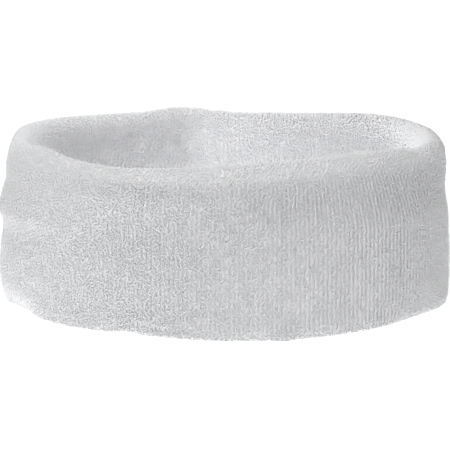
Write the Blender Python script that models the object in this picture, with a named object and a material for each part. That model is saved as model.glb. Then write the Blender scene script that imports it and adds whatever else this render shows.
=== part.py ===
"""Terry sports headband: a knitted pile tube folded double into a soft ring.

The ring stands on its lower edge. Units are metres, +Z is up, +X is its long way across and +Y
points to its back. The cloth has two plies joined by the rolled upper edge. Their raw ends meet in
a narrow slit along the lower edge, where the seam threads lie.
"""

import math

import bmesh
import bpy
from mathutils import Vector

# The ring, measured on the middle line between its two plies
BAND_HEIGHT = 0.056
HALF_WIDTH_BOTTOM = 0.0729
HALF_WIDTH_TOP = 0.0702
HALF_DEPTH_BOTTOM = 0.0450
HALF_DEPTH_TOP = 0.0421
BACK_FULLNESS = 3.1  # exponent of the outline: 2 is an ellipse, more is squarer
FRONT_FULLNESS_BOTTOM = 1.87
FRONT_FULLNESS_TOP = 1.72
FRONT_SWAY_BOTTOM = -0.0012  # positive: the front's left half swings forward and its right half back
FRONT_SWAY_TOP = 0.0035
FRONT_BLEND = 4.0  # how quickly the front's outline turns into the back's at the sides
WAIST = 0.0008  # how far the middle of the height pulls in

# The cloth, from its outer face inwards
BAND_THICKNESS = 0.0062
PILE_THICKNESS = 0.0017
GROUND_THICKNESS = 0.0005
CLEARANCE = 0.0003
LOWER_EDGE_ROUND = 0.0012
SLIT_HALF_WIDTH = 0.0009

# The yarns and threads
ELASTIC_COUNT = 8
ELASTIC_RADIUS = 0.0003
ELASTIC_MARGIN = 0.006  # first and last elastic yarn to the band's edges
THREAD_RADIUS = 0.0002
NEEDLE_THREAD_HEIGHT = 0.0015
LOOPER_THREAD_HEIGHT = 0.0007
LOOPER_SWING = 0.0003
GAP_THREAD_HEIGHT = 0.0009
GAP_THREAD_SWING = 0.00035
GAP_LEFT = -0.026  # the turning gap runs along the front between these two X
GAP_RIGHT = 0.020  # the seam's end knot sits here
GAP_STITCHES = 20
KNOT_RADIUS = 0.0005
KNOT_HEIGHT = 0.0009

# How finely the rings are cut
STATIONS = 60
SIDE_LEVELS = (0.33, 0.67)  # fractions of the height where a ply's side has a row of points
TOP_SEGMENTS = 6
CORNER_SEGMENTS = 2
YARN_SIDES = 5

HALF_THICKNESS = BAND_THICKNESS / 2
PILE_INNER = HALF_THICKNESS - PILE_THICKNESS
GROUND_OUTER = PILE_INNER - CLEARANCE
GROUND_INNER = GROUND_OUTER - GROUND_THICKNESS
THREAD_END_SPACE = KNOT_RADIUS + 2 * CLEARANCE  # from the gap's ends to where its threads stop
FULL_TURN = 2 * math.pi


def clear_scene():
    for thing in list(bpy.data.objects):
        bpy.data.objects.remove(thing)


def material(name, colour, roughness):
    """A matt, non-metallic textile finish."""
    finish = bpy.data.materials.new(name)
    finish.use_nodes = True
    shader = finish.node_tree.nodes["Principled BSDF"]
    shader.inputs["Base Color"].default_value = (*colour, 1.0)
    shader.inputs["Roughness"].default_value = roughness
    shader.inputs["Metallic"].default_value = 0.0
    return finish


def between(low, high, share):
    return low + (high - low) * share


def outline_at_level(turn, half_width, half_depth, front_fullness, sway):
    """The ring's outline, a squarish oval at the back that is slacker and swayed at the front."""
    across, deep = math.cos(turn), math.sin(turn)
    front = 0.5 * (1 - math.tanh(FRONT_BLEND * deep))
    fullness = between(BACK_FULLNESS, front_fullness, front)
    reach = (abs(across) ** fullness + abs(deep) ** fullness) ** (-1 / fullness)
    x = half_width * reach * across
    y = half_depth * reach * deep
    return Vector((x, y + sway * front * math.sin(math.pi * x / half_width)))


def outline(turn, height):
    """Point of the middle line between the plies, at a turn round the ring and a height."""
    level = height / BAND_HEIGHT
    low = outline_at_level(
        turn, HALF_WIDTH_BOTTOM, HALF_DEPTH_BOTTOM, FRONT_FULLNESS_BOTTOM, FRONT_SWAY_BOTTOM
    )
    high = outline_at_level(turn, HALF_WIDTH_TOP, HALF_DEPTH_TOP, FRONT_FULLNESS_TOP, FRONT_SWAY_TOP)
    return low.lerp(high, level)


def outward(turn, height):
    """Level unit vector that points out of the ring."""
    step = FULL_TURN / STATIONS / 2
    along = outline(turn + step, height) - outline(turn - step, height)
    return Vector((along.y, -along.x)).normalized()


def band_point(turn, out, height):
    """A point of the band, given by its turn, its distance out from the middle line and its height."""
    waist = WAIST * math.sin(math.pi * height / BAND_HEIGHT)
    flat = outline(turn, height) + outward(turn, height) * (out - waist)
    return Vector((flat.x, flat.y, height))


def ring_turns():
    return [FULL_TURN * station / STATIONS for station in range(STATIONS)]


def band_middle():
    """Centre of the box round the band's outer face, which becomes the model's origin."""
    heights = [0.0, HALF_THICKNESS] + [BAND_HEIGHT * level for level in SIDE_LEVELS]
    points = [band_point(turn, HALF_THICKNESS, height) for turn in ring_turns() for height in heights]
    middle_x = (min(p.x for p in points) + max(p.x for p in points)) / 2
    middle_y = (min(p.y for p in points) + max(p.y for p in points)) / 2
    return Vector((middle_x, middle_y, 0.0))


def arc(centre_out, centre_height, radius, start, end, segments):
    """Points (out, height) along an arc, with its angles in degrees."""
    points = []
    for index in range(segments + 1):
        angle = math.radians(between(start, end, index / segments))
        points.append((centre_out + radius * math.cos(angle), centre_height + radius * math.sin(angle)))
    return points


def mirrored(points):
    """The same run of points on the other ply, in the order that carries the section on."""
    return [(-out, height) for out, height in reversed(points)]


def side_points(out):
    return [(out, BAND_HEIGHT * level) for level in SIDE_LEVELS]


def rolled_top(radius, segments):
    return arc(0.0, BAND_HEIGHT - HALF_THICKNESS, radius, 0, 180, segments)


def pile_section():
    """The pile wraps the whole fold and hooks in at the slit along the lower edge."""
    corner = arc(
        HALF_THICKNESS - LOWER_EDGE_ROUND, LOWER_EDGE_ROUND, LOWER_EDGE_ROUND, -90, 0, CORNER_SEGMENTS
    )
    outer_run = [(SLIT_HALF_WIDTH, 0.0)] + corner + side_points(HALF_THICKNESS)
    inner_run = [(SLIT_HALF_WIDTH, PILE_THICKNESS), (PILE_INNER, PILE_THICKNESS)] + side_points(PILE_INNER)
    outer_face = outer_run + rolled_top(HALF_THICKNESS, TOP_SEGMENTS) + mirrored(outer_run)
    inner_face = inner_run + rolled_top(PILE_INNER, TOP_SEGMENTS - 2) + mirrored(inner_run)
    return outer_face + inner_face[::-1]


def ground_section():
    """The ground knit is an upside-down U inside the pile."""
    foot = PILE_THICKNESS + CLEARANCE
    outer_run = [(GROUND_OUTER, foot)] + side_points(GROUND_OUTER)
    inner_run = [(GROUND_INNER, foot)] + side_points(GROUND_INNER)
    outer_face = outer_run + rolled_top(GROUND_OUTER, TOP_SEGMENTS - 2) + mirrored(outer_run)
    inner_face = inner_run + rolled_top(GROUND_INNER, TOP_SEGMENTS - 2) + mirrored(inner_run)
    return outer_face + inner_face[::-1]


def yarn_section(out, height, radius):
    """A round yarn, as an even-sided polygon."""
    return arc(out, height, radius, 0, 360, YARN_SIDES)[:-1]


def add_object(name, mesh_builder, finish):
    """Turns the builder's closed body into a named, smooth-shaded object."""
    bmesh.ops.recalc_face_normals(mesh_builder, faces=mesh_builder.faces)
    mesh = bpy.data.meshes.new(name)
    mesh_builder.to_mesh(mesh)
    mesh_builder.free()
    mesh.shade_smooth()
    mesh.set_sharp_from_angle(angle=math.radians(40))
    mesh.materials.append(finish)
    thing = bpy.data.objects.new(name, mesh)
    bpy.context.scene.collection.objects.link(thing)
    return thing


def swept_body(name, turns, sections, closed, origin, finish):
    """Runs one section per turn round the band and joins them up, capped at the ends if not closed."""
    builder = bmesh.new()
    rows = []
    for turn, section in zip(turns, sections):
        rows.append([builder.verts.new(band_point(turn, out, height) - origin) for out, height in section])
    count = len(rows[0])
    pairs = list(zip(rows, rows[1:]))
    if closed:
        pairs.append((rows[-1], rows[0]))
    for first, second in pairs:
        for index in range(count):
            following = (index + 1) % count
            builder.faces.new((first[index], first[following], second[following], second[index]))
    if not closed:
        builder.faces.new(rows[0])
        builder.faces.new(rows[-1])
    return add_object(name, builder, finish)


def ring_body(name, section, origin, finish):
    turns = ring_turns()
    return swept_body(name, turns, [section] * len(turns), True, origin, finish)


def front_turn(x, origin):
    """The turn at which the front of the lower edge passes an X of the finished model."""
    low, high = math.pi, FULL_TURN
    for _ in range(40):
        middle = (low + high) / 2
        if outline(middle, 0.0).x - origin.x < x:
            low = middle
        else:
            high = middle
    return low


def turns_outside_gap(origin):
    """Turns of the seam, from the gap's right end round the back to its left end."""
    start = front_turn(GAP_RIGHT + THREAD_END_SPACE, origin) - FULL_TURN
    end = front_turn(GAP_LEFT - THREAD_END_SPACE, origin)
    inside = [turn for turn in ring_turns() + [t - FULL_TURN for t in ring_turns()] if start < turn < end]
    return [start] + sorted(inside) + [end]


def make_elastic_yarns(origin, finish):
    spacing = (BAND_HEIGHT - 2 * ELASTIC_MARGIN) / (ELASTIC_COUNT - 1)
    for index in range(ELASTIC_COUNT):
        section = yarn_section(0.0, ELASTIC_MARGIN + spacing * index, ELASTIC_RADIUS)
        ring_body(f"elastic_yarn_{index + 1}", section, origin, finish)


def make_closing_seam(origin, finish):
    """A straight needle thread, and below it a looper thread that swings from ply to ply."""
    turns = turns_outside_gap(origin)
    straight = [yarn_section(0.0, NEEDLE_THREAD_HEIGHT, THREAD_RADIUS) for _ in turns]
    swinging = [
        yarn_section(LOOPER_SWING * (-1) ** index, LOOPER_THREAD_HEIGHT, THREAD_RADIUS)
        for index in range(len(turns))
    ]
    swept_body("closing_seam_needle_thread", turns, straight, False, origin, finish)
    swept_body("closing_seam_looper_thread", turns, swinging, False, origin, finish)


def make_gap_thread(origin, finish):
    """The short whip stitch that closes the turning gap, clear of the seam and of the knot."""
    start = front_turn(GAP_LEFT, origin)
    end = front_turn(GAP_RIGHT - THREAD_END_SPACE, origin)
    points = 2 * GAP_STITCHES
    turns = [between(start, end, index / points) for index in range(points + 1)]
    sections = [
        yarn_section(GAP_THREAD_SWING * (-1) ** index, GAP_THREAD_HEIGHT, THREAD_RADIUS)
        for index in range(points + 1)
    ]
    swept_body("turning_gap_thread", turns, sections, False, origin, finish)


def make_seam_knot(origin, finish):
    """A small knot in the slit, between the gap's stitch and the closing seam."""
    builder = bmesh.new()
    bmesh.ops.create_icosphere(builder, subdivisions=2, radius=KNOT_RADIUS)
    place = band_point(front_turn(GAP_RIGHT, origin), 0.0, KNOT_HEIGHT) - origin
    bmesh.ops.translate(builder, verts=builder.verts, vec=place)
    add_object("seam_end_knot", builder, finish)


def main():
    clear_scene()
    origin = band_middle()
    cotton = material("cotton_pile", (0.86, 0.87, 0.88), 0.95)
    ground = material("polyamide_ground", (0.84, 0.85, 0.86), 0.8)
    elastic = material("covered_elastic", (0.80, 0.80, 0.79), 0.7)
    thread = material("polyester_thread", (0.88, 0.88, 0.88), 0.6)
    ring_body("terry_pile", pile_section(), origin, cotton)
    ring_body("ground_knit", ground_section(), origin, ground)
    make_elastic_yarns(origin, elastic)
    make_closing_seam(origin, thread)
    make_gap_thread(origin, thread)
    make_seam_knot(origin, thread)


main()
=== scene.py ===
"""Looks of the terry sports headband: knitted ground cloth, cotton loops, seam threads and studio.

Everything is in metres, in the CAD model's frame. The band stands on z = 0 and +Y is its back.
"""

import math

import bpy
import numpy as np
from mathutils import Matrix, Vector


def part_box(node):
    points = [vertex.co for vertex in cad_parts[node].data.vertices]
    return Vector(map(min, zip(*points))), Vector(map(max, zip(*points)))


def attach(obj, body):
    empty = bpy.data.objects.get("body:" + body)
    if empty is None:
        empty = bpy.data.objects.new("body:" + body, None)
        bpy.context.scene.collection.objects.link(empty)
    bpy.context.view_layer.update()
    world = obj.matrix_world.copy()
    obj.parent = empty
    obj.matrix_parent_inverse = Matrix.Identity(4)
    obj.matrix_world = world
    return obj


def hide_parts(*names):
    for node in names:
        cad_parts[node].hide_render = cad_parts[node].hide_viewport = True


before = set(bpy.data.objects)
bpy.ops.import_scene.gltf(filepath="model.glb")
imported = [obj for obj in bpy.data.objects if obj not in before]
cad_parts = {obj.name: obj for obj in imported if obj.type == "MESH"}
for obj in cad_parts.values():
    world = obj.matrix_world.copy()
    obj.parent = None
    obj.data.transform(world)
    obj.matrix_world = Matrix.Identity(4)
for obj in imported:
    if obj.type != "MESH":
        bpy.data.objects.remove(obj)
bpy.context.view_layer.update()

PILE_LOW, PILE_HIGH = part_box("terry_pile")
MM = 0.001
FULL_TURN = 2 * math.pi

# ---------------------------------------------------------------- the ring's driving sizes
# The outline repeats the CAD's rule, fitted into the box of its terry_pile node.
BAND_HEIGHT = PILE_HIGH.z - PILE_LOW.z
HALF_THICKNESS = 3.1 * MM  # from the middle line between the plies to the tips of the loops
LOWER_HALF_WIDTH = (PILE_HIGH.x - PILE_LOW.x) / 2 - HALF_THICKNESS
LOWER_HALF_DEPTH = 45.0 * MM
UPPER_HALF_WIDTH = LOWER_HALF_WIDTH - 2.7 * MM
UPPER_HALF_DEPTH = LOWER_HALF_DEPTH - 2.9 * MM
BACK_FULLNESS = 3.1
LOWER_FRONT_FULLNESS = 1.87
UPPER_FRONT_FULLNESS = 1.72
LOWER_SWAY = -1.2 * MM
UPPER_SWAY = 3.5 * MM
FRONT_BLEND = 4.0
SHOULDER_LOW = 0.60  # the wall leans in between these shares of its height
SHOULDER_HIGH = 0.95
GAP_LEFT = -26.0 * MM  # the turning gap, closed by its own thread
GAP_RIGHT = 20.0 * MM

# ---------------------------------------------------------------- the cloth
LOOP_HEIGHT = 1.05 * MM
LOOP_TIP = 1.2 * MM  # how far the loops' tips stand over the ground cloth
GROUND_THICKNESS = 0.7 * MM
PLY_HALF_GAP = HALF_THICKNESS - LOOP_TIP + 0.15 * MM  # middle line to the outside of a ply's ground
FOLD_RADIUS = 3.2 * MM  # the rolled upper edge is rounder than the plies below it
FOLD_SET_BACK = 1.1 * MM  # the roll bulges inwards more than outwards
FOLD_REACH = 8.0 * MM  # how far down the fold's roundness is felt
HEM_RADIUS = 0.7 * MM
SLIT_HALF_WIDTH = 0.5 * MM
WALE_PITCH = 1.45 * MM
COURSE_PITCH = 0.50 * MM
CLOTH_COLUMNS = 420
CLOTH_ROWS = 110
SECTION_POINTS = 400
FLOOR_CLEARANCE = 0.02 * MM

rng = np.random.default_rng(20)


# ---------------------------------------------------------------- shape of the ring
def between(low, high, share):
    return low + (high - low) * share


def smooth_step(low, high, value):
    share = np.clip((value - low) / (high - low), 0, 1)
    return share * share * (3 - 2 * share)


def outline(turn, level):
    """The CAD's plan outline of the middle line; turn is in radians and level runs 0 to 1 upwards."""
    across, deep = np.cos(turn), np.sin(turn)
    front = 0.5 * (1 - np.tanh(FRONT_BLEND * deep))
    corners = []
    for half_width, half_depth, fullness, sway in (
        (LOWER_HALF_WIDTH, LOWER_HALF_DEPTH, LOWER_FRONT_FULLNESS, LOWER_SWAY),
        (UPPER_HALF_WIDTH, UPPER_HALF_DEPTH, UPPER_FRONT_FULLNESS, UPPER_SWAY),
    ):
        full = between(BACK_FULLNESS, fullness, front)
        reach = (np.abs(across) ** full + np.abs(deep) ** full) ** (-1 / full)
        x = half_width * reach * across
        y = half_depth * reach * deep + sway * front * np.sin(math.pi * x / half_width)
        corners.append((x, y))
    (low_x, low_y), (high_x, high_y) = corners
    lean = smooth_step(SHOULDER_LOW, SHOULDER_HIGH, level)
    return between(low_x, high_x, lean), between(low_y, high_y, lean)


def outward(turn, level):
    """Level unit vector out of the ring."""
    step = 0.02
    x_ahead, y_ahead = outline(turn + step, level)
    x_behind, y_behind = outline(turn - step, level)
    along_x, along_y = x_ahead - x_behind, y_ahead - y_behind
    size = np.hypot(along_x, along_y)
    return along_y / size, -along_x / size


def ring_middle():
    """How far the outline's box is off the CAD box, so that the two can be laid on each other."""
    turn = np.linspace(0, FULL_TURN, 721)
    level = np.array([[0.0], [1.0]])
    x, y = outline(turn, level)
    out_x, out_y = outward(turn, level)
    x, y = x + out_x * HALF_THICKNESS, y + out_y * HALF_THICKNESS
    middle_x = (x.min() + x.max()) / 2 - (PILE_LOW.x + PILE_HIGH.x) / 2
    middle_y = (y.min() + y.max()) / 2 - (PILE_LOW.y + PILE_HIGH.y) / 2
    return middle_x, middle_y


MIDDLE_X, MIDDLE_Y = ring_middle()


def degrees_from(turn, place):
    """How far a turn is from a place given in degrees round the ring, from -180 to 180."""
    return (np.degrees(turn) - place + 180) % 360 - 180


def hill(distance, width):
    return np.exp(-((distance / width) ** 2))


# Places round the ring are in degrees: 0 is its right end, 90 the back, 180 the left end, 270 the front.
# Each swell or hollow of the whole cloth: place, level, degrees wide, level's share tall, push outwards.
SWELLS = (
    (180, 0.93, 16, 0.14, -0.6 * MM),  # left end, under the fold
    (192, 0.595, 22, 0.04, 1.0 * MM),  # ridge over the tuck
    (196, 0.49, 24, 0.09, -1.1 * MM),  # tuck that runs down into the left of the front
    (0, 0.94, 16, 0.07, 0.9 * MM),  # right end, under the fold
    (2, 0.69, 18, 0.14, -2.0 * MM),  # right end, hollow
    (28, 0.96, 10, 0.30, -0.9 * MM),  # back right corner
    (199, 0.0, 13, 0.09, -4.3 * MM),  # hem of the left end, drawn in
    (186, 0.22, 14, 0.16, 0.7 * MM),  # foot of the left end
    (216, 0.97, 12, 0.10, 0.9 * MM),  # puffed lip at the front left
    (262, 0.83, 70, 0.07, -0.3 * MM),  # neck under the rolled edge
    (272, 1.03, 48, 0.10, -1.2 * MM),  # the front's rolled edge tips inwards
    (330, 1.03, 30, 0.10, -0.8 * MM),  # and so does the front right's
    (250, 0.55, 22, 0.16, -0.4 * MM),  # shallow hollow left of the front's middle
    (292, 0.62, 16, 0.25, -0.6 * MM),  # shallow hollow right of the front's middle
    (318, 0.30, 14, 0.30, 0.5 * MM),  # fullness low on the front right
    (256, 0.050, 7, 0.014, -0.9 * MM),  # groove over the closed gap
    (268, 0.010, 14, 0.030, 0.9 * MM),  # closed gap stands proud
    (225, 0.0, 14, 0.12, 1.2 * MM),  # hem of the front left, pushed out
    (330, 0.0, 15, 0.12, -1.7 * MM),  # hem of the front right, drawn in
    (290, 0.0, 35, 0.12, 1.0 * MM),  # hem right of the front's middle, pushed out
    (186, 0.77, 18, 0.07, -1.0 * MM),  # left end, hollow over the ridge
    (0, 0.46, 16, 0.10, -0.5 * MM),  # right end, hollow at half height
    (284.5, 0.005, 3, 0.03, 1.6 * MM),  # bump over the seam's knot
)
FOLD_SET_IN_LOW = 0.80  # the roll is set inwards between these shares of the height
FOLD_SET_IN_HIGH = 0.97
CREASE_PLACE = 105.0  # degrees round the ring at the top
CREASE_SLANT = 14.0  # degrees from top to bottom
CREASE_WIDTH = 7.0
CREASE_PUSH = 4.0 * MM
CREASE_ROUNDING = 0.3  # square degrees; 0 would make a knife edge


def swell(turn, level):
    """How far the swells and hollows push the whole cloth outwards."""
    set_in = smooth_step(FOLD_SET_IN_LOW, FOLD_SET_IN_HIGH, level)
    total = -(FOLD_SET_BACK + wave(turn, FOLD_SWELLS)) * set_in
    for place, height, wide, tall, push in SWELLS:
        total = total + push * hill(degrees_from(turn, place), wide) * hill(level - height, tall)
    return total


def packing_crease(turn, level):
    """The upright corner at the back where the band lay folded flat; it slants to the right downwards."""
    aside = degrees_from(turn, CREASE_PLACE - CREASE_SLANT * (1 - level))
    return CREASE_PUSH * np.exp(-np.sqrt(aside**2 + CREASE_ROUNDING) / CREASE_WIDTH)


# Rises and dips of the fold's ridge: place in degrees, degrees wide, height.
RIDGE_WAVES = (
    (236, 25, -2.1 * MM),
    (208, 8, 1.0 * MM),
    (102, 8, 1.5 * MM),
    (97, 2.0, 0.4 * MM),
    (91, 2.0, 0.5 * MM),
    (48, 14, 0.8 * MM),
    (162, 14, 0.6 * MM),
    (18, 12, 0.5 * MM),
    (314, 12, 0.3 * MM),
    (280, 45, -0.8 * MM),
    (72, 50, -0.45 * MM),
    (338, 8, -1.3 * MM),
)
# Lifts of the hem off the floor.
HEM_WAVES = (
    (245, 3.5, 0.9 * MM),
    (228, 14, 0.3 * MM),
    (325, 24, 0.5 * MM),
    (90, 60, 0.2 * MM),
)
RIDGE_HEIGHT = BAND_HEIGHT - LOOP_TIP + 1.15 * MM
HEM_HEIGHT = 0.5 * LOOP_TIP


def wave(turn, waves):
    """Sum of hills round the ring."""
    return sum(rise * hill(degrees_from(turn, place), wide) for place, wide, rise in waves)


# Where the rolled edge is plumper.
FOLD_SWELLS = (
    (215, 20, 0.5 * MM),
    (268, 45, 1.3 * MM),
)
CHAMFER = 0.5  # how far the roll's outer half is flattened to a slope, 1 for a straight slope
CHAMFER_PLACE = 280.0
CHAMFER_WIDTH = 60.0
SOLE_POINTS = 8  # points of the section across one half of the hem's sole
CORNER_POINTS = 16  # points round the hem's corner


def fold_radius(turn):
    return FOLD_RADIUS + wave(turn, FOLD_SWELLS)


def section(turn):
    """The fold's section at each turn: distance out and height, from the outer hem over to the inner one."""
    turn = turn[:, None]
    top = RIDGE_HEIGHT + wave(turn, RIDGE_WAVES)
    low = HEM_HEIGHT + wave(turn, HEM_WAVES)
    radius = fold_radius(turn)
    quarter = SECTION_POINTS // 4
    sole_out = np.linspace(SLIT_HALF_WIDTH, PLY_HALF_GAP - HEM_RADIUS, SOLE_POINTS)[None, :-1] + 0 * turn
    sole_height = low + 0 * sole_out
    angle = np.linspace(0, math.pi / 2, CORNER_POINTS)[None, :-1]
    corner_out = PLY_HALF_GAP - HEM_RADIUS + HEM_RADIUS * np.sin(angle) + 0 * turn
    corner_height = low + HEM_RADIUS - HEM_RADIUS * np.cos(angle)
    share = np.linspace(0, 1, quarter)[None, :]
    side_height = between(low + HEM_RADIUS, top - radius, share)
    side_out = PLY_HALF_GAP + (radius - PLY_HALF_GAP) * hill(top - radius - side_height, FOLD_REACH)
    arch = np.linspace(0, math.pi, 2 * quarter)[None, 1:-1]
    chamfer = CHAMFER * hill(degrees_from(turn, CHAMFER_PLACE), CHAMFER_WIDTH)
    slope = np.where(arch < math.pi / 2, 1 + chamfer, 1.0)
    arch_out = radius * np.sign(np.cos(arch)) * np.abs(np.cos(arch)) ** slope
    arch_height = top - radius + radius * np.sin(arch) ** slope
    half_out = np.concatenate([sole_out, corner_out, side_out], axis=1)
    half_height = np.concatenate([sole_height, corner_height, side_height], axis=1)
    out = np.concatenate([half_out, arch_out, -half_out[:, ::-1]], axis=1)
    height = np.concatenate([half_height, arch_height, half_height[:, ::-1]], axis=1)
    return out, height


def cloth_point(turn, out, height):
    """Points of the cloth from turns round the ring, distances out and heights."""
    level = np.clip(height / BAND_HEIGHT, 0, 1)
    x, y = outline(turn, level)
    out_x, out_y = outward(turn, level)
    push = out + swell(turn, level) + packing_crease(turn, level)
    return np.stack([x + out_x * push - MIDDLE_X, y + out_y * push - MIDDLE_Y, height], axis=-1)


def even_turns(count):
    """Turns that are evenly spaced along the ring's middle line at half height."""
    turn = np.linspace(0, FULL_TURN, 4001)
    x, y = outline(turn, 0.5)
    along = np.concatenate([[0], np.cumsum(np.hypot(np.diff(x), np.diff(y)))])
    return np.interp(np.arange(count) / count * along[-1], along, turn), along[-1]


def section_lengths(turn, reach):
    """Mean length along the section up to each of its points, measured a distance off the cloth."""
    out, height = section(turn)
    across, up = np.gradient(out, axis=1), np.gradient(height, axis=1)
    size = np.hypot(across, up)
    out, height = out + up / size * reach, height - across / size * reach
    step = np.hypot(np.diff(out, axis=1), np.diff(height, axis=1)).mean(axis=0)
    return np.concatenate([[0], np.cumsum(step)])


def cloth_grid(turn, rows, reach=0.0):
    """Points of the ground cloth: a column for each turn, and rows even along the fold or a reach off it."""
    out, height = section(turn)
    along = section_lengths(turn, reach)
    place = np.interp(rows * along[-1], along, np.arange(len(along)))
    left = np.clip(place.astype(int), 0, len(along) - 2)
    share = place - left
    row_out = between(out[:, left], out[:, left + 1], share)
    row_height = between(height[:, left], height[:, left + 1], share)
    return cloth_point(turn[:, None] + 0 * row_out, row_out, row_height), row_out, row_height


def unit(vectors):
    return vectors / np.linalg.norm(vectors, axis=-1, keepdims=True)


def surface_frames(points):
    """Unit vectors round the ring, along the fold and out of the cloth at every grid point."""
    round_ring = unit(np.roll(points, -1, axis=0) - np.roll(points, 1, axis=0))
    along_fold = unit(np.gradient(points, axis=1))
    return round_ring, along_fold, unit(np.cross(round_ring, along_fold))


# ---------------------------------------------------------------- mesh helpers
def mesh_piece(name, points, quads, material):
    mesh = bpy.data.meshes.new(name)
    mesh.vertices.add(len(points))
    mesh.vertices.foreach_set("co", points.astype(np.float32).ravel())
    mesh.loops.add(quads.size)
    mesh.loops.foreach_set("vertex_index", quads.astype(np.int32).ravel())
    mesh.polygons.add(len(quads))
    mesh.polygons.foreach_set("loop_start", np.arange(0, quads.size, 4, dtype=np.int32))
    mesh.update(calc_edges=True)
    mesh.shade_smooth()
    mesh.materials.append(material)
    piece = bpy.data.objects.new(name, mesh)
    bpy.context.scene.collection.objects.link(piece)
    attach(piece, "root")
    return piece


def tubes(paths, radii, sides, guide):
    """Closed tubes along paths of the same number of points: rings of vertices, and their quads."""
    tangent = unit(np.gradient(paths, axis=1))
    first = unit(guide - tangent * (guide * tangent).sum(-1, keepdims=True))
    second = np.cross(tangent, first)
    angle = (np.arange(sides) + 0.5) * FULL_TURN / sides
    ring = first[:, :, None] * np.cos(angle)[:, None] + second[:, :, None] * np.sin(angle)[:, None]
    points = paths[:, :, None] + ring * radii[:, :, None, None]
    count, rings = paths.shape[:2]
    start = np.arange(rings - 1)[:, None] * sides
    side = np.arange(sides)[None, :]
    ahead = (side + 1) % sides
    walls = np.stack([start + side, start + ahead, start + sides + ahead, start + sides + side], axis=-1)
    quads = [walls.reshape(-1, 4)]
    last = (rings - 1) * sides
    for corner in range(0, sides - 2, 2):
        far = min(corner + 3, sides - 1)
        quads.append(np.array([[far, corner + 2, corner + 1, 0]]))
        quads.append(np.array([[last, last + corner + 1, last + corner + 2, last + far]]))
    quads = np.concatenate(quads)
    quads = quads[None] + (np.arange(count) * rings * sides)[:, None, None]
    return points.reshape(-1, 3), quads.reshape(-1, 4)


# ---------------------------------------------------------------- materials
ROUGHNESS = 0.95
SHEEN = 0.25
SHEEN_ROUGHNESS = 0.5
FIBRE_SCALE = 3000.0
FIBRE_STRENGTH = 0.6
FIBRE_DEPTH = 0.12 * MM


def cotton(name, colour, darkest, scale):
    """Matt white yarn: faint mottling down to a share of the colour, and a bump of fine fibres."""
    material = bpy.data.materials.new(name)
    material.use_nodes = True
    nodes, links = material.node_tree.nodes, material.node_tree.links
    shader = nodes["Principled BSDF"]
    shader.inputs["Roughness"].default_value = ROUGHNESS
    shader.inputs["Sheen Weight"].default_value = SHEEN
    shader.inputs["Sheen Roughness"].default_value = SHEEN_ROUGHNESS
    place = nodes.new("ShaderNodeTexCoord")
    noise = nodes.new("ShaderNodeTexNoise")
    noise.inputs["Scale"].default_value = scale
    noise.inputs["Detail"].default_value = 3.0
    ramp = nodes.new("ShaderNodeValToRGB")
    ramp.color_ramp.elements[0].position = 0.3
    ramp.color_ramp.elements[1].position = 0.7
    ramp.color_ramp.elements[0].color = (*[c * darkest for c in colour], 1)
    ramp.color_ramp.elements[1].color = (*colour, 1)
    links.new(place.outputs["Object"], noise.inputs["Vector"])
    links.new(noise.outputs["Fac"], ramp.inputs["Fac"])
    links.new(ramp.outputs["Color"], shader.inputs["Base Color"])
    fibres = nodes.new("ShaderNodeTexNoise")
    fibres.inputs["Scale"].default_value = FIBRE_SCALE
    fibres.inputs["Detail"].default_value = 2.0
    bump = nodes.new("ShaderNodeBump")
    bump.inputs["Strength"].default_value = FIBRE_STRENGTH
    bump.inputs["Distance"].default_value = FIBRE_DEPTH
    links.new(place.outputs["Object"], fibres.inputs["Vector"])
    links.new(fibres.outputs["Fac"], bump.inputs["Height"])
    links.new(bump.outputs["Normal"], shader.inputs["Normal"])
    return material


# ---------------------------------------------------------------- pieces
def make_ground_cloth(material):
    """One sheet folded double over the top, from raw edge to raw edge; also gives the ring's length."""
    turn, length = even_turns(CLOTH_COLUMNS)
    rows = np.linspace(0, 1, CLOTH_ROWS)
    outer, _, _ = cloth_grid(turn, rows)
    _, _, normal = surface_frames(outer)
    inner = outer - normal * GROUND_THICKNESS
    points = np.concatenate([outer.reshape(-1, 3), inner.reshape(-1, 3)])
    column, row = np.meshgrid(np.arange(CLOTH_COLUMNS), np.arange(CLOTH_ROWS - 1), indexing="ij")
    ahead = (column + 1) % CLOTH_COLUMNS
    corner = [column * CLOTH_ROWS + row, ahead * CLOTH_ROWS + row]
    corner += [ahead * CLOTH_ROWS + row + 1, column * CLOTH_ROWS + row + 1]
    face = np.stack(corner, axis=-1).reshape(-1, 4)
    half = len(points) // 2
    rims = []
    side = np.arange(CLOTH_COLUMNS)
    other = (side + 1) % CLOTH_COLUMNS
    for edge, turned in ((0, False), (CLOTH_ROWS - 1, True)):
        rim = [side * CLOTH_ROWS + edge, side * CLOTH_ROWS + edge + half]
        rim += [other * CLOTH_ROWS + edge + half, other * CLOTH_ROWS + edge]
        rim = np.stack(rim, axis=-1)
        rims.append(rim[:, ::-1] if turned else rim)
    quads = np.concatenate([face, face[:, ::-1] + half, *rims])
    piece = mesh_piece("ground_cloth", points, quads, material)
    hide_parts("ground_knit")
    return piece, length


LOOP_PATH = np.array(  # along the spread, across it and up, in units of the loop's width and height
    [
        (-0.30, 0.00, -0.08),
        (-0.50, 0.45, 0.60),
        (0.00, 0.00, 1.00),
        (0.50, -0.45, 0.60),
        (0.30, 0.00, -0.08),
    ]
)
LOOP_FATNESS = np.array([0.8, 1.0, 1.1, 1.0, 0.8])
LOOP_SIDES = 4
LOOP_RADIUS = (0.21 * MM, 0.27 * MM)
LOOP_WIDTH = (0.46 * MM, 0.72 * MM)
LOOP_PIECES = 14
STAGGER = 0.17  # neighbours in a wale stand to its left and right by this share of the pitch
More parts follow.
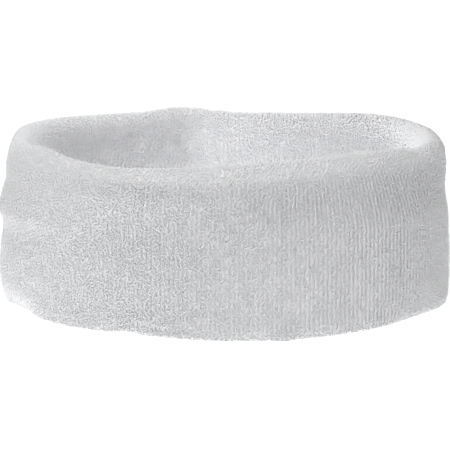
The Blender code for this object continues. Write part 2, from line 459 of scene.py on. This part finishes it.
# Where the loops lie differently: place and width in degrees round the ring.
FLATTENED_AT = (204, 42)  # the front's left, worn and matted
COMBED_AT = (298, 42)  # the front's right, where the loops line up along their columns
STANDING_RIM_AT = (75, 60)  # the back's rim, where the roll is looser
ROLL_STARTS = BAND_HEIGHT - 8 * MM  # the loops tighten from here upwards over the roll
ROLL_FULL = BAND_HEIGHT - 4 * MM
SOLE_ENDS = 4 * MM  # below this height the hem's loops are matted, fully so at the next
SOLE_FULL = 1.5 * MM
UNDERSIDE = 5 * MM  # only cloth lower than this can be part of the underside
GAP_BLEND = 2 * MM  # the closed gap fades in and out over this distance either side of its ends
GAP_TOP = 3.5 * MM
GAP_FULL = 2.0 * MM
# How far the loops stray, before matting and combing change it.
ASIDE_SCATTER = 0.08  # of the pitch between columns
AHEAD_SCATTER = 0.16  # of the pitch between courses
YAW_SCATTER = 0.65  # radians
GAP_YAW_SCATTER = 0.4  # of the yaw elsewhere
LEAN_ASIDE_SCATTER = 0.16
LEAN_AHEAD = -0.05
LEAN_AHEAD_SCATTER = 0.20
HEIGHT_SPREAD = (0.85, 1.08)
TWIST_SPREAD = (0.3, 1.0)
# What matting (calm), the roll, combing and the hem change, as shares.
CALM_STAGGER = 0.09
COMBED_STAGGER = 0.06
CALM_AHEAD = 0.6
CALM_YAW = 1.2
COMBED_YAW = 0.4
PILE_HEIGHT = 1.12
CALM_HEIGHT = 0.64
ROLLED_HEIGHT = 0.12
COMBED_HEIGHT = 0.16
UNDER_HEIGHT = 0.45
GAP_HEIGHT = 0.3
CALM_WIDTH = 0.3
ROLLED_WIDTH = 0.2
PILE_RADIUS = 0.92
CALM_RADIUS = 0.50
STANDING_SHARE = 0.7  # how much of the roll's tightness the standing rim undoes


def closed_gap_share(points, row_out, row_height):
    """1 on the outer hem where the turning gap was closed, 0 away from it."""
    x = points[..., 0]
    along = smooth_step(GAP_LEFT - GAP_BLEND, GAP_LEFT + GAP_BLEND, x)
    along = along * smooth_step(GAP_RIGHT + GAP_BLEND, GAP_RIGHT - GAP_BLEND, x)
    at_front = (points[..., 1] < 0) * (row_out > 0)
    return along * (at_front * smooth_step(GAP_TOP, GAP_FULL, row_height))


def loop_paths(base, spread, across, up, width, twist, height):
    """The bent path of each loop, from its foot over its tip to its other foot."""
    path = base[:, None] + spread[:, None] * (width[:, None] * LOOP_PATH[:, 0])[..., None]
    path = path + across[:, None] * ((width * twist)[:, None] * LOOP_PATH[:, 1])[..., None]
    return path + up[:, None] * (height[:, None] * LOOP_PATH[:, 2])[..., None]


def make_pile(material, length):
    """The terry loops of both faces, in pieces of neighbouring columns (wales)."""
    wales = round(length / WALE_PITCH)
    turn, _ = even_turns(wales)
    reach = section_lengths(turn, LOOP_TIP)[-1]
    courses = round(reach / COURSE_PITCH)
    rows = (np.arange(courses) + 0.5) / courses
    points, row_out, row_height = cloth_grid(turn, rows, LOOP_TIP)
    round_ring, along_fold, normal = surface_frames(points)
    shape = points.shape[:2]
    closed_gap = closed_gap_share(points, row_out, row_height)
    flattened, combed, standing = (
        hill(degrees_from(turn, place), wide)[:, None]
        for place, wide in (FLATTENED_AT, COMBED_AT, STANDING_RIM_AT)
    )
    rolled = smooth_step(ROLL_STARTS, ROLL_FULL, row_height) * (1 - STANDING_SHARE * standing)
    sole = smooth_step(SOLE_ENDS, SOLE_FULL, row_height)
    calm = np.maximum(np.maximum(flattened, rolled), sole)  # 1 where the loops are matted and low
    to_the_side = np.where(np.arange(courses) % 2, 1.0, -1.0)
    stagger = (STAGGER + CALM_STAGGER * calm - COMBED_STAGGER * combed) * to_the_side
    aside = rng.normal(0, ASIDE_SCATTER, shape) * (1 + calm) + stagger
    ahead = rng.normal(0, AHEAD_SCATTER, shape) * (1 + CALM_AHEAD * calm)
    base = points + round_ring * (aside * WALE_PITCH)[..., None]
    base = base + along_fold * (ahead * COURSE_PITCH)[..., None]
    yaw = rng.normal(0, YAW_SCATTER, shape) * (1 + CALM_YAW * calm) * (1 - COMBED_YAW * combed)
    yaw = between(yaw, math.pi / 2 + GAP_YAW_SCATTER * yaw, closed_gap)
    spread = along_fold * np.cos(yaw)[..., None] + round_ring * np.sin(yaw)[..., None]
    lean_aside = rng.normal(0, LEAN_ASIDE_SCATTER, shape)
    lean_ahead = rng.normal(LEAN_AHEAD, LEAN_AHEAD_SCATTER, shape)
    up = unit(normal + round_ring * lean_aside[..., None] + along_fold * lean_ahead[..., None])
    across = unit(np.cross(up, spread))
    spread = np.cross(across, up)
    height = LOOP_HEIGHT * rng.uniform(*HEIGHT_SPREAD, shape)
    under = smooth_step(PLY_HALF_GAP, PLY_HALF_GAP - HEM_RADIUS, np.abs(row_out))
    under = under * (row_height < UNDERSIDE)
    height = height * (1 - UNDER_HEIGHT * under) * (1 - GAP_HEIGHT * closed_gap)
    lowered = COMBED_HEIGHT * combed * (1 - calm)
    height = height * (PILE_HEIGHT - CALM_HEIGHT * calm - ROLLED_HEIGHT * rolled - lowered)
    width = rng.uniform(*LOOP_WIDTH, shape) * (1 - CALM_WIDTH * calm - ROLLED_WIDTH * rolled)
    twist = rng.choice([-1.0, 1.0], shape) * rng.uniform(*TWIST_SPREAD, shape)
    radius = rng.uniform(*LOOP_RADIUS, shape) * (PILE_RADIUS + CALM_RADIUS * calm)
    pieces = []
    for index, band in enumerate(np.array_split(np.arange(wales), LOOP_PIECES)):
        shapes = [
            values[band].reshape(-1, *values.shape[2:])
            for values in (base, spread, across, up, width, twist, height)
        ]
        fatness = radius[band].reshape(-1, 1) * LOOP_FATNESS
        guide = shapes[2][:, None]
        bodies, quads = tubes(loop_paths(*shapes), fatness, LOOP_SIDES, guide)
        bodies[:, 2] = np.maximum(bodies[:, 2], FLOOR_CLEARANCE)
        piece = mesh_piece(f"terry_loops_{index + 1}", bodies, quads, material)
        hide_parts("terry_pile")
        pieces.append(piece)
    return pieces


# ---------------------------------------------------------------- elastic yarns
ELASTIC_COUNT = 8
ELASTIC_MARGIN = 6.0 * MM
ELASTIC_CORE = 0.22 * MM
ELASTIC_COVER = 0.10 * MM
ELASTIC_ZIGZAG = 0.75 * MM  # the yarn is laid from one ply to the other and back
ELASTIC_WAVES = 92
COVER_TURNS = 120
ELASTIC_BOB = 0.2 * MM  # the yarn rises and falls by this much
ELASTIC_STATIONS = 8 * ELASTIC_WAVES
CORE_SIDES = 6
COVER_SIDES = 4


def closed_tubes(paths, radius, sides):
    """Endless tubes round the ring: their vertices and quads. paths is tubes x points x 3."""
    tangent = unit(np.roll(paths, -1, axis=1) - np.roll(paths, 1, axis=1))
    up = np.array([0.0, 0.0, 1.0])
    first = unit(up - tangent * tangent[..., 2:3])
    second = np.cross(tangent, first)
    angle = np.arange(sides) * FULL_TURN / sides
    ring = first[:, :, None] * np.cos(angle)[:, None] + second[:, :, None] * np.sin(angle)[:, None]
    points = paths[:, :, None] + ring * radius
    count, stations = paths.shape[:2]
    start = np.arange(stations)[:, None] * sides
    following = (start + sides) % (stations * sides)
    side = np.arange(sides)[None, :]
    ahead = (side + 1) % sides
    quads = np.stack([start + side, start + ahead, following + ahead, following + side], axis=-1)
    quads = quads.reshape(1, -1, 4) + (np.arange(count) * stations * sides)[:, None, None]
    return points.reshape(-1, 3), quads.reshape(-1, 4)


def join(*meshes):
    """One mesh from several of (points, quads)."""
    points, quads, start = [], [], 0
    for part_points, part_quads in meshes:
        points.append(part_points)
        quads.append(part_quads + start)
        start += len(part_points)
    return np.concatenate(points), np.concatenate(quads)


def make_elastic_yarns(material):
    """Each yarn is a rubber core with one cover thread wound round it."""
    turn, _ = even_turns(ELASTIC_STATIONS)
    place = np.arange(ELASTIC_STATIONS) / ELASTIC_STATIONS * FULL_TURN
    low, high = ELASTIC_MARGIN, BAND_HEIGHT - ELASTIC_MARGIN
    for index in range(ELASTIC_COUNT):
        height = between(low, high, index / (ELASTIC_COUNT - 1))
        out = ELASTIC_ZIGZAG * np.sin(place * ELASTIC_WAVES)
        core = cloth_point(turn, out, height + ELASTIC_BOB * np.cos(place * ELASTIC_WAVES))
        around = place * COVER_TURNS
        away = ELASTIC_CORE + ELASTIC_COVER
        cover = cloth_point(turn, out + away * np.cos(around), core[:, 2] + away * np.sin(around))
        points, quads = join(
            closed_tubes(core[None], ELASTIC_CORE, CORE_SIDES),
            closed_tubes(cover[None], ELASTIC_COVER, COVER_SIDES),
        )
        piece = mesh_piece(f"covered_elastic_{index + 1}", points, quads, material)
        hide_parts(f"elastic_yarn_{index + 1}")


# ---------------------------------------------------------------- sewing threads
THREAD_RADIUS = 0.15 * MM
THREAD_SIDES = 6
STITCH_LENGTH = 3.0 * MM
STITCH_POINTS = 8
KNOT_SIZE = 0.42 * MM
TAIL_LENGTH = 2.6 * MM
KNOT_POINTS = 40
TAIL_POINTS = 8
KNOT_ENDS = 0.25  # radians of the knot's curve left open at either end
GAP_STITCHES = 20
SEAM_MARGIN = 0.03  # turn between the closing seam and either end of the gap
KNOT_MARGIN = 0.015  # turn between the gap's last stitch and the knot
# Each stitch line: swing across the slit, height over the hem, lift up and down, and phase.
NEEDLE_LINE = (0.10 * MM, 0.45 * MM, 0.12 * MM, 0.0)
LOOPER_LINE = (0.62 * MM, -0.12 * MM, 0.10 * MM, math.pi / 2)
GAP_LINE = (0.66 * MM, -0.12 * MM, 0.12 * MM, 0.0)


def front_turn(x):
    """The turn at which the front's middle line, at the hem, passes an X."""
    turn = np.linspace(math.pi, FULL_TURN, 2001)
    return float(np.interp(x + MIDDLE_X, outline(turn, 0.0)[0], turn))


def seam_path(start, end, stitches, swing, height, lift, phase):
    """A stitch line along the hem's slit between two turns, swinging across it and up and down."""
    count = stitches * STITCH_POINTS
    share = np.linspace(0, 1, count)
    turn = between(start, end, share)
    beat = share * stitches * FULL_TURN + phase
    low = HEM_HEIGHT + wave(turn, HEM_WAVES)
    return cloth_point(turn, swing * np.sin(beat), low + height + lift * np.cos(2 * beat))


def thread_piece(name, node, path, material):
    radii = np.full((1, len(path)), THREAD_RADIUS)
    points, quads = tubes(path[None], radii, THREAD_SIDES, np.array([0.0, 0.0, 1.0]))
    piece = mesh_piece(name, points, quads, material)
    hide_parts(node)


def make_seam(material, length):
    gap_start, gap_end = front_turn(GAP_LEFT), front_turn(GAP_RIGHT)
    stitches = round((length - (GAP_RIGHT - GAP_LEFT)) / STITCH_LENGTH)
    ends = (gap_end + SEAM_MARGIN, gap_start - SEAM_MARGIN + FULL_TURN)
    needle = seam_path(*ends, stitches, *NEEDLE_LINE)
    looper = seam_path(*ends, stitches, *LOOPER_LINE)
    closing = seam_path(gap_start, gap_end - KNOT_MARGIN, GAP_STITCHES, *GAP_LINE)
    thread_piece("needle_thread", "closing_seam_needle_thread", needle, material)
    thread_piece("looper_thread", "closing_seam_looper_thread", looper, material)
    thread_piece("gap_thread", "turning_gap_thread", closing, material)
    make_knot(material, gap_end)


def make_knot(material, turn):
    """An overhand knot under the hem with two short tails that lie out on the floor."""
    centre = cloth_point(np.array([turn]), np.array([0.3 * MM]), np.array([HEM_HEIGHT - 0.1 * MM]))[0]
    out_x, out_y = outward(np.array([turn]), 0.0)
    out = np.array([out_x[0], out_y[0], 0.0])
    along = np.array([-out_y[0], out_x[0], 0.0])
    up = np.array([0.0, 0.0, 1.0])
    beat = np.linspace(KNOT_ENDS, FULL_TURN - KNOT_ENDS, KNOT_POINTS)
    round_in = np.sin(beat) + 2 * np.sin(2 * beat)
    round_up = np.cos(beat) - 2 * np.cos(2 * beat)
    through = -np.sin(3 * beat)
    curve = along * round_in[:, None] + out * round_up[:, None] + up * through[:, None]
    knot = centre + KNOT_SIZE / 3 * curve
    share = np.linspace(0, 1, TAIL_POINTS)[1:, None]
    tail_a = knot[-1] + out * TAIL_LENGTH * share + along * 0.6 * MM * share
    tail_b = knot[0] + out * 0.8 * TAIL_LENGTH * share - along * 0.9 * MM * share
    floor = THREAD_RADIUS + FLOOR_CLEARANCE
    path = np.concatenate([tail_b[::-1], knot, tail_a])
    path[:, 2] = np.maximum(path[:, 2], floor)
    path[: len(tail_b), 2] = between(floor, path[: len(tail_b), 2], np.linspace(0, 1, len(tail_b)) ** 2)
    path[-len(tail_a):, 2] = between(floor, path[-len(tail_a):, 2], np.linspace(1, 0, len(tail_a)) ** 2)
    thread_piece("seam_knot", "seam_end_knot", path, material)


# ---------------------------------------------------------------- studio
CAMERA_ELEVATION = 14.7
CAMERA_DISTANCE = 0.65
CAMERA_AIM = (0.0, 0.0, 0.0260)
CAMERA_LENS = 153.5
FLOOR_SIZE = 8.0
FLOOR_GLOW = 0.68
# Each sun: name, degrees round from the front to the right, degrees up, spread in degrees, strength.
SUNS = (
    ("key", -50, 32, 50, 0.98),
    ("fill", 45, 30, 50, 0.45),
    ("top", 0, 88, 60, 0.57),
)
# Each light for the inner ply: name, place, what it points at, size, energy.
INNER_LIGHTS = (
    ("opening", (-0.02, 0.0, 0.20), (-0.02, 0.0, 0.0), 0.10, 0.125),
    ("right_wall", (-0.015, 0.0, 0.042), (0.07, 0.01, 0.030), 0.03, 0.009),
)


def make_camera():
    elevation = math.radians(CAMERA_ELEVATION)
    aim = Vector(CAMERA_AIM)
    data = bpy.data.cameras.new("camera")
    data.sensor_width = 36.0
    data.lens = CAMERA_LENS
    data.clip_start = 0.01
    camera = bpy.data.objects.new("camera", data)
    back = Vector((0.0, -math.cos(elevation), math.sin(elevation)))
    camera.location = aim + back * CAMERA_DISTANCE
    camera.rotation_euler = (-back).to_track_quat("-Z", "Y").to_euler()
    bpy.context.scene.collection.objects.link(camera)
    bpy.context.scene.camera = camera


def sun(name, side, height, spread, strength):
    """Soft light from far away: degrees round from the front to the right, and degrees up."""
    data = bpy.data.lights.new(name, "SUN")
    data.angle = math.radians(spread)
    data.energy = strength
    light = bpy.data.objects.new(name, data)
    side, height = math.radians(side), math.radians(height)
    level = math.cos(height)
    source = Vector((math.sin(side) * level, -math.cos(side) * level, math.sin(height)))
    light.rotation_euler = (-source).to_track_quat("-Z", "Y").to_euler()
    light.location = source
    bpy.context.scene.collection.objects.link(light)


def opening_light(name, place, aim, size, energy):
    """Soft light over the ring's opening or inside it, which brightens the inner ply."""
    data = bpy.data.lights.new(name, "AREA")
    data.size = size
    data.energy = energy
    light = bpy.data.objects.new(name, data)
    light.location = place
    light.rotation_euler = (Vector(aim) - Vector(place)).to_track_quat("-Z", "Y").to_euler()
    light.visible_camera = False
    bpy.context.scene.collection.objects.link(light)


def make_floor():
    """White floor that glows a little, so that it melts into the white background."""
    bpy.ops.mesh.primitive_plane_add(size=FLOOR_SIZE, location=(0, 0, 0))
    floor = bpy.context.active_object
    floor.name = "floor"
    plain = bpy.data.materials.new("floor")
    plain.use_nodes = True
    shader = plain.node_tree.nodes["Principled BSDF"]
    shader.inputs["Base Color"].default_value = (1.0, 1.0, 1.0, 1)
    shader.inputs["Emission Color"].default_value = (1, 1, 1, 1)
    shader.inputs["Emission Strength"].default_value = FLOOR_GLOW
    shader.inputs["Roughness"].default_value = 1.0
    floor.data.materials.append(plain)


def make_studio():
    """The world is white to the camera only; the suns and the inner lights do the lighting."""
    scene = bpy.context.scene
    scene.view_settings.view_transform = "Standard"
    scene.cycles.diffuse_bounces = 10
    world = bpy.data.worlds.new("studio")
    scene.world = world
    world.use_nodes = True
    nodes, links = world.node_tree.nodes, world.node_tree.links
    nodes["Background"].inputs["Color"].default_value = (1, 1, 1, 1)
    seen = nodes.new("ShaderNodeLightPath")
    links.new(seen.outputs["Is Camera Ray"], nodes["Background"].inputs["Strength"])
    make_floor()
    for row in SUNS:
        sun(*row)
    for row in INNER_LIGHTS:
        opening_light(*row)


def main():
    make_camera()
    make_studio()
    ground = cotton("ground_cloth", (0.95, 0.95, 0.96), 0.97, 900.0)
    pile = cotton("cotton_loops", (0.975, 0.975, 0.985), 0.955, 900.0)
    cloth, length = make_ground_cloth(ground)
    loops = make_pile(pile, length)
    elastic = cotton("covered_elastic", (0.90, 0.90, 0.90), 0.96, 1500.0)
    thread = cotton("sewing_thread", (0.94, 0.94, 0.95), 0.96, 2500.0)
    make_elastic_yarns(elastic)
    make_seam(thread, length)


main()
